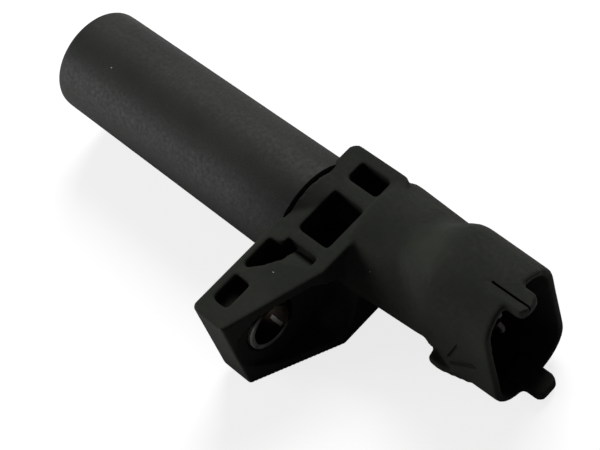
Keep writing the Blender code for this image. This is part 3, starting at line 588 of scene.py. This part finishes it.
# Painted shade: the bore and the side towards the slit are darkened as if they lay in shade.
towards_shaded_side = maths(tree, "MULTIPLY_ADD", y, SHADED_SIDE[0],
                    maths(tree, "MULTIPLY", z, SHADED_SIDE[1]))
painted_shade_mask = maths(tree, "MAXIMUM", in_bore, ramp(tree, towards_shaded_side, SHADE_THINS, SHADE_FULL))
plated = colour_mix(tree, stains, ZINC, STAINED_ZINC)
shaded_colour = colour_mix(tree, stains, PAINTED_SHADE, DEEP_PAINTED_SHADE)
plated_and_shaded = colour_mix(tree, painted_shade_mask, plated, shaded_colour)
feed(tree, shader, colour_mix(tree, streak, plated_and_shaded, PAINTED_GLINT),
     varied(tree, scratches, start=0.4, spread=0.3), scratches, relief=0.02 * MM)
finish_piece(bushing, zinc, "bushing_steel", "compression_bushing")


# The magnetic circuit inside the barrel: a soft iron core whose face shows at the tip, the bias
# magnet behind its head, and an iron yoke disc that closes the stack.

IRON, DULL_IRON = (0.34, 0.33, 0.32), (0.2, 0.17, 0.15)
SINTERED, DULL_SINTERED = (0.13, 0.13, 0.135), (0.09, 0.085, 0.08)
RING_SCALE = 900.0
RING_WAVER = 1.5
RING_DETAIL = 2.0
DULL_ROUGHER = 0.25

bare_metal, given, put = node_group(
    "turned_metal",
    {"Colour": COLOUR, "Dull Colour": COLOUR, "Roughness": NUMBER},
    {"Colour": COLOUR, "Roughness": NUMBER, "Height": NUMBER},
)
place = placed(bare_metal)
rings = bare_metal.nodes.new("ShaderNodeTexWave")
rings.wave_type = "RINGS"
rings.rings_direction = "X"
rings.inputs["Scale"].default_value = RING_SCALE
rings.inputs["Distortion"].default_value = RING_WAVER
rings.inputs["Detail"].default_value = RING_DETAIL
bare_metal.links.new(place, rings.inputs["Vector"])
patches = noise(bare_metal, place, scale=300.0, detail=5.0, rough=0.65)
dull = ramp(bare_metal, patches, low=0.4, high=0.65)
dulled = colour_mix(bare_metal, dull, given.outputs["Colour"], given.outputs["Dull Colour"])
rough = varied(bare_metal, dull, given.outputs["Roughness"], DULL_ROUGHER)
bare_metal.links.new(dulled, put.inputs["Colour"])
bare_metal.links.new(rough, put.inputs["Roughness"])
bare_metal.links.new(rings.outputs["Fac"], put.inputs["Height"])


def metal(name, colour, dull_colour, roughness, relief, metallic=1.0):
    """Bare metal with fine turning rings and dull patches."""
    material, tree, shader = new_material(name, metallic)
    skin = place_group(material, bare_metal, {"Colour": colour, "Dull Colour": dull_colour,
                                              "Roughness": roughness})
    feed(tree, shader, skin.outputs["Colour"], skin.outputs["Roughness"],
         skin.outputs["Height"], relief)
    return material


def dress_nodes(material, *nodes):
    """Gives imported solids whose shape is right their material."""
    for node in nodes:
        NODES[node].data.materials.clear()
        NODES[node].data.materials.append(material)


iron = metal("soft_iron", IRON, DULL_IRON, roughness=0.38, relief=0.01 * MM)
sintered = metal("sintered_magnet", SINTERED, DULL_SINTERED, roughness=0.55, relief=0.004 * MM,
                 metallic=0.6)
dress_nodes(iron, "pole_core", "yoke_disc")
dress_nodes(sintered, "bias_magnet")


# The coil former and the terminal carrier, both of natural nylon, off-white and dull. The
# former holds the winding and the magnet stack, and the carrier keeps the three strips apart
# inside the flange.

NYLON, PALE_NYLON = (0.5, 0.45, 0.34), (0.6, 0.56, 0.45)

natural, tree, shader = new_material("natural_nylon")
skin = place_group(natural, grain, {"Colour": NYLON, "Cloud Colour": PALE_NYLON,
                                    "Roughness": 0.5, "Roughness Spread": 0.2})
feed(tree, shader, skin.outputs["Colour"], skin.outputs["Roughness"], skin.outputs["Height"],
     relief=0.01 * MM)
dress_nodes(natural, "coil_bobbin", "terminal_carrier")


# The winding: fine enamelled copper wire in even layers on the former, held by a turn of amber
# film tape, with its two ends led back along the former's grooves to the outer strips.

COPPER_GAP, COPPER = (0.32, 0.1, 0.035), (0.62, 0.25, 0.1)
AMBER, PALE_AMBER = (0.45, 0.24, 0.04), (0.58, 0.36, 0.09)
TURN_SCALE = 1600.0
TURN_WAVER = 0.6

enamel, tree, shader = new_material("enamelled_copper", metallic=1.0)
place = placed(tree)
turns = tree.nodes.new("ShaderNodeTexWave")
turns.bands_direction = "X"
turns.inputs["Scale"].default_value = TURN_SCALE
turns.inputs["Distortion"].default_value = TURN_WAVER
tree.links.new(place, turns.inputs["Vector"])
feed(tree, shader, colour_mix(tree, turns.outputs["Fac"], COPPER_GAP, COPPER),
     varied(tree, noise(tree, place, scale=900.0), start=0.2, spread=0.3),
     turns.outputs["Fac"], relief=0.05 * MM)
dress_nodes(enamel, "coil_winding", "upper_coil_lead", "lower_coil_lead")

film, tree, shader = new_material("amber_film")
place = placed(tree)
folds = noise(tree, place, scale=260.0, detail=6.0, rough=0.7)
creases = ramp(tree, folds, low=0.42, high=0.6)
feed(tree, shader, colour_mix(tree, creases, AMBER, PALE_AMBER),
     varied(tree, creases, start=0.22, spread=0.2), creases, relief=0.05 * MM)
dress_nodes(film, "winding_tape")


# The terminals: three stamped strips of brass under a dull tin plating, which end as flat
# blades in the socket. The marks of the stamping run along them.

# The tin colours are painted dark, as shade inside the socket.
SHADED_TIN, SHADED_DULL_TIN = (0.12, 0.115, 0.105), (0.08, 0.075, 0.068)

tin, tree, shader = new_material("tin_plating", metallic=1.0)
place = placed(tree)
lines = noise(tree, drawn_out(tree, place, along=0.08), scale=3200.0)
blots = noise(tree, place, scale=500.0, detail=5.0, rough=0.6)
matt = ramp(tree, blots, low=0.4, high=0.65)
feed(tree, shader, colour_mix(tree, matt, SHADED_TIN, SHADED_DULL_TIN),
     varied(tree, lines, start=0.42, spread=0.3), lines, relief=0.01 * MM)
dress_nodes(tin, "upper_terminal", "middle_terminal", "lower_terminal")
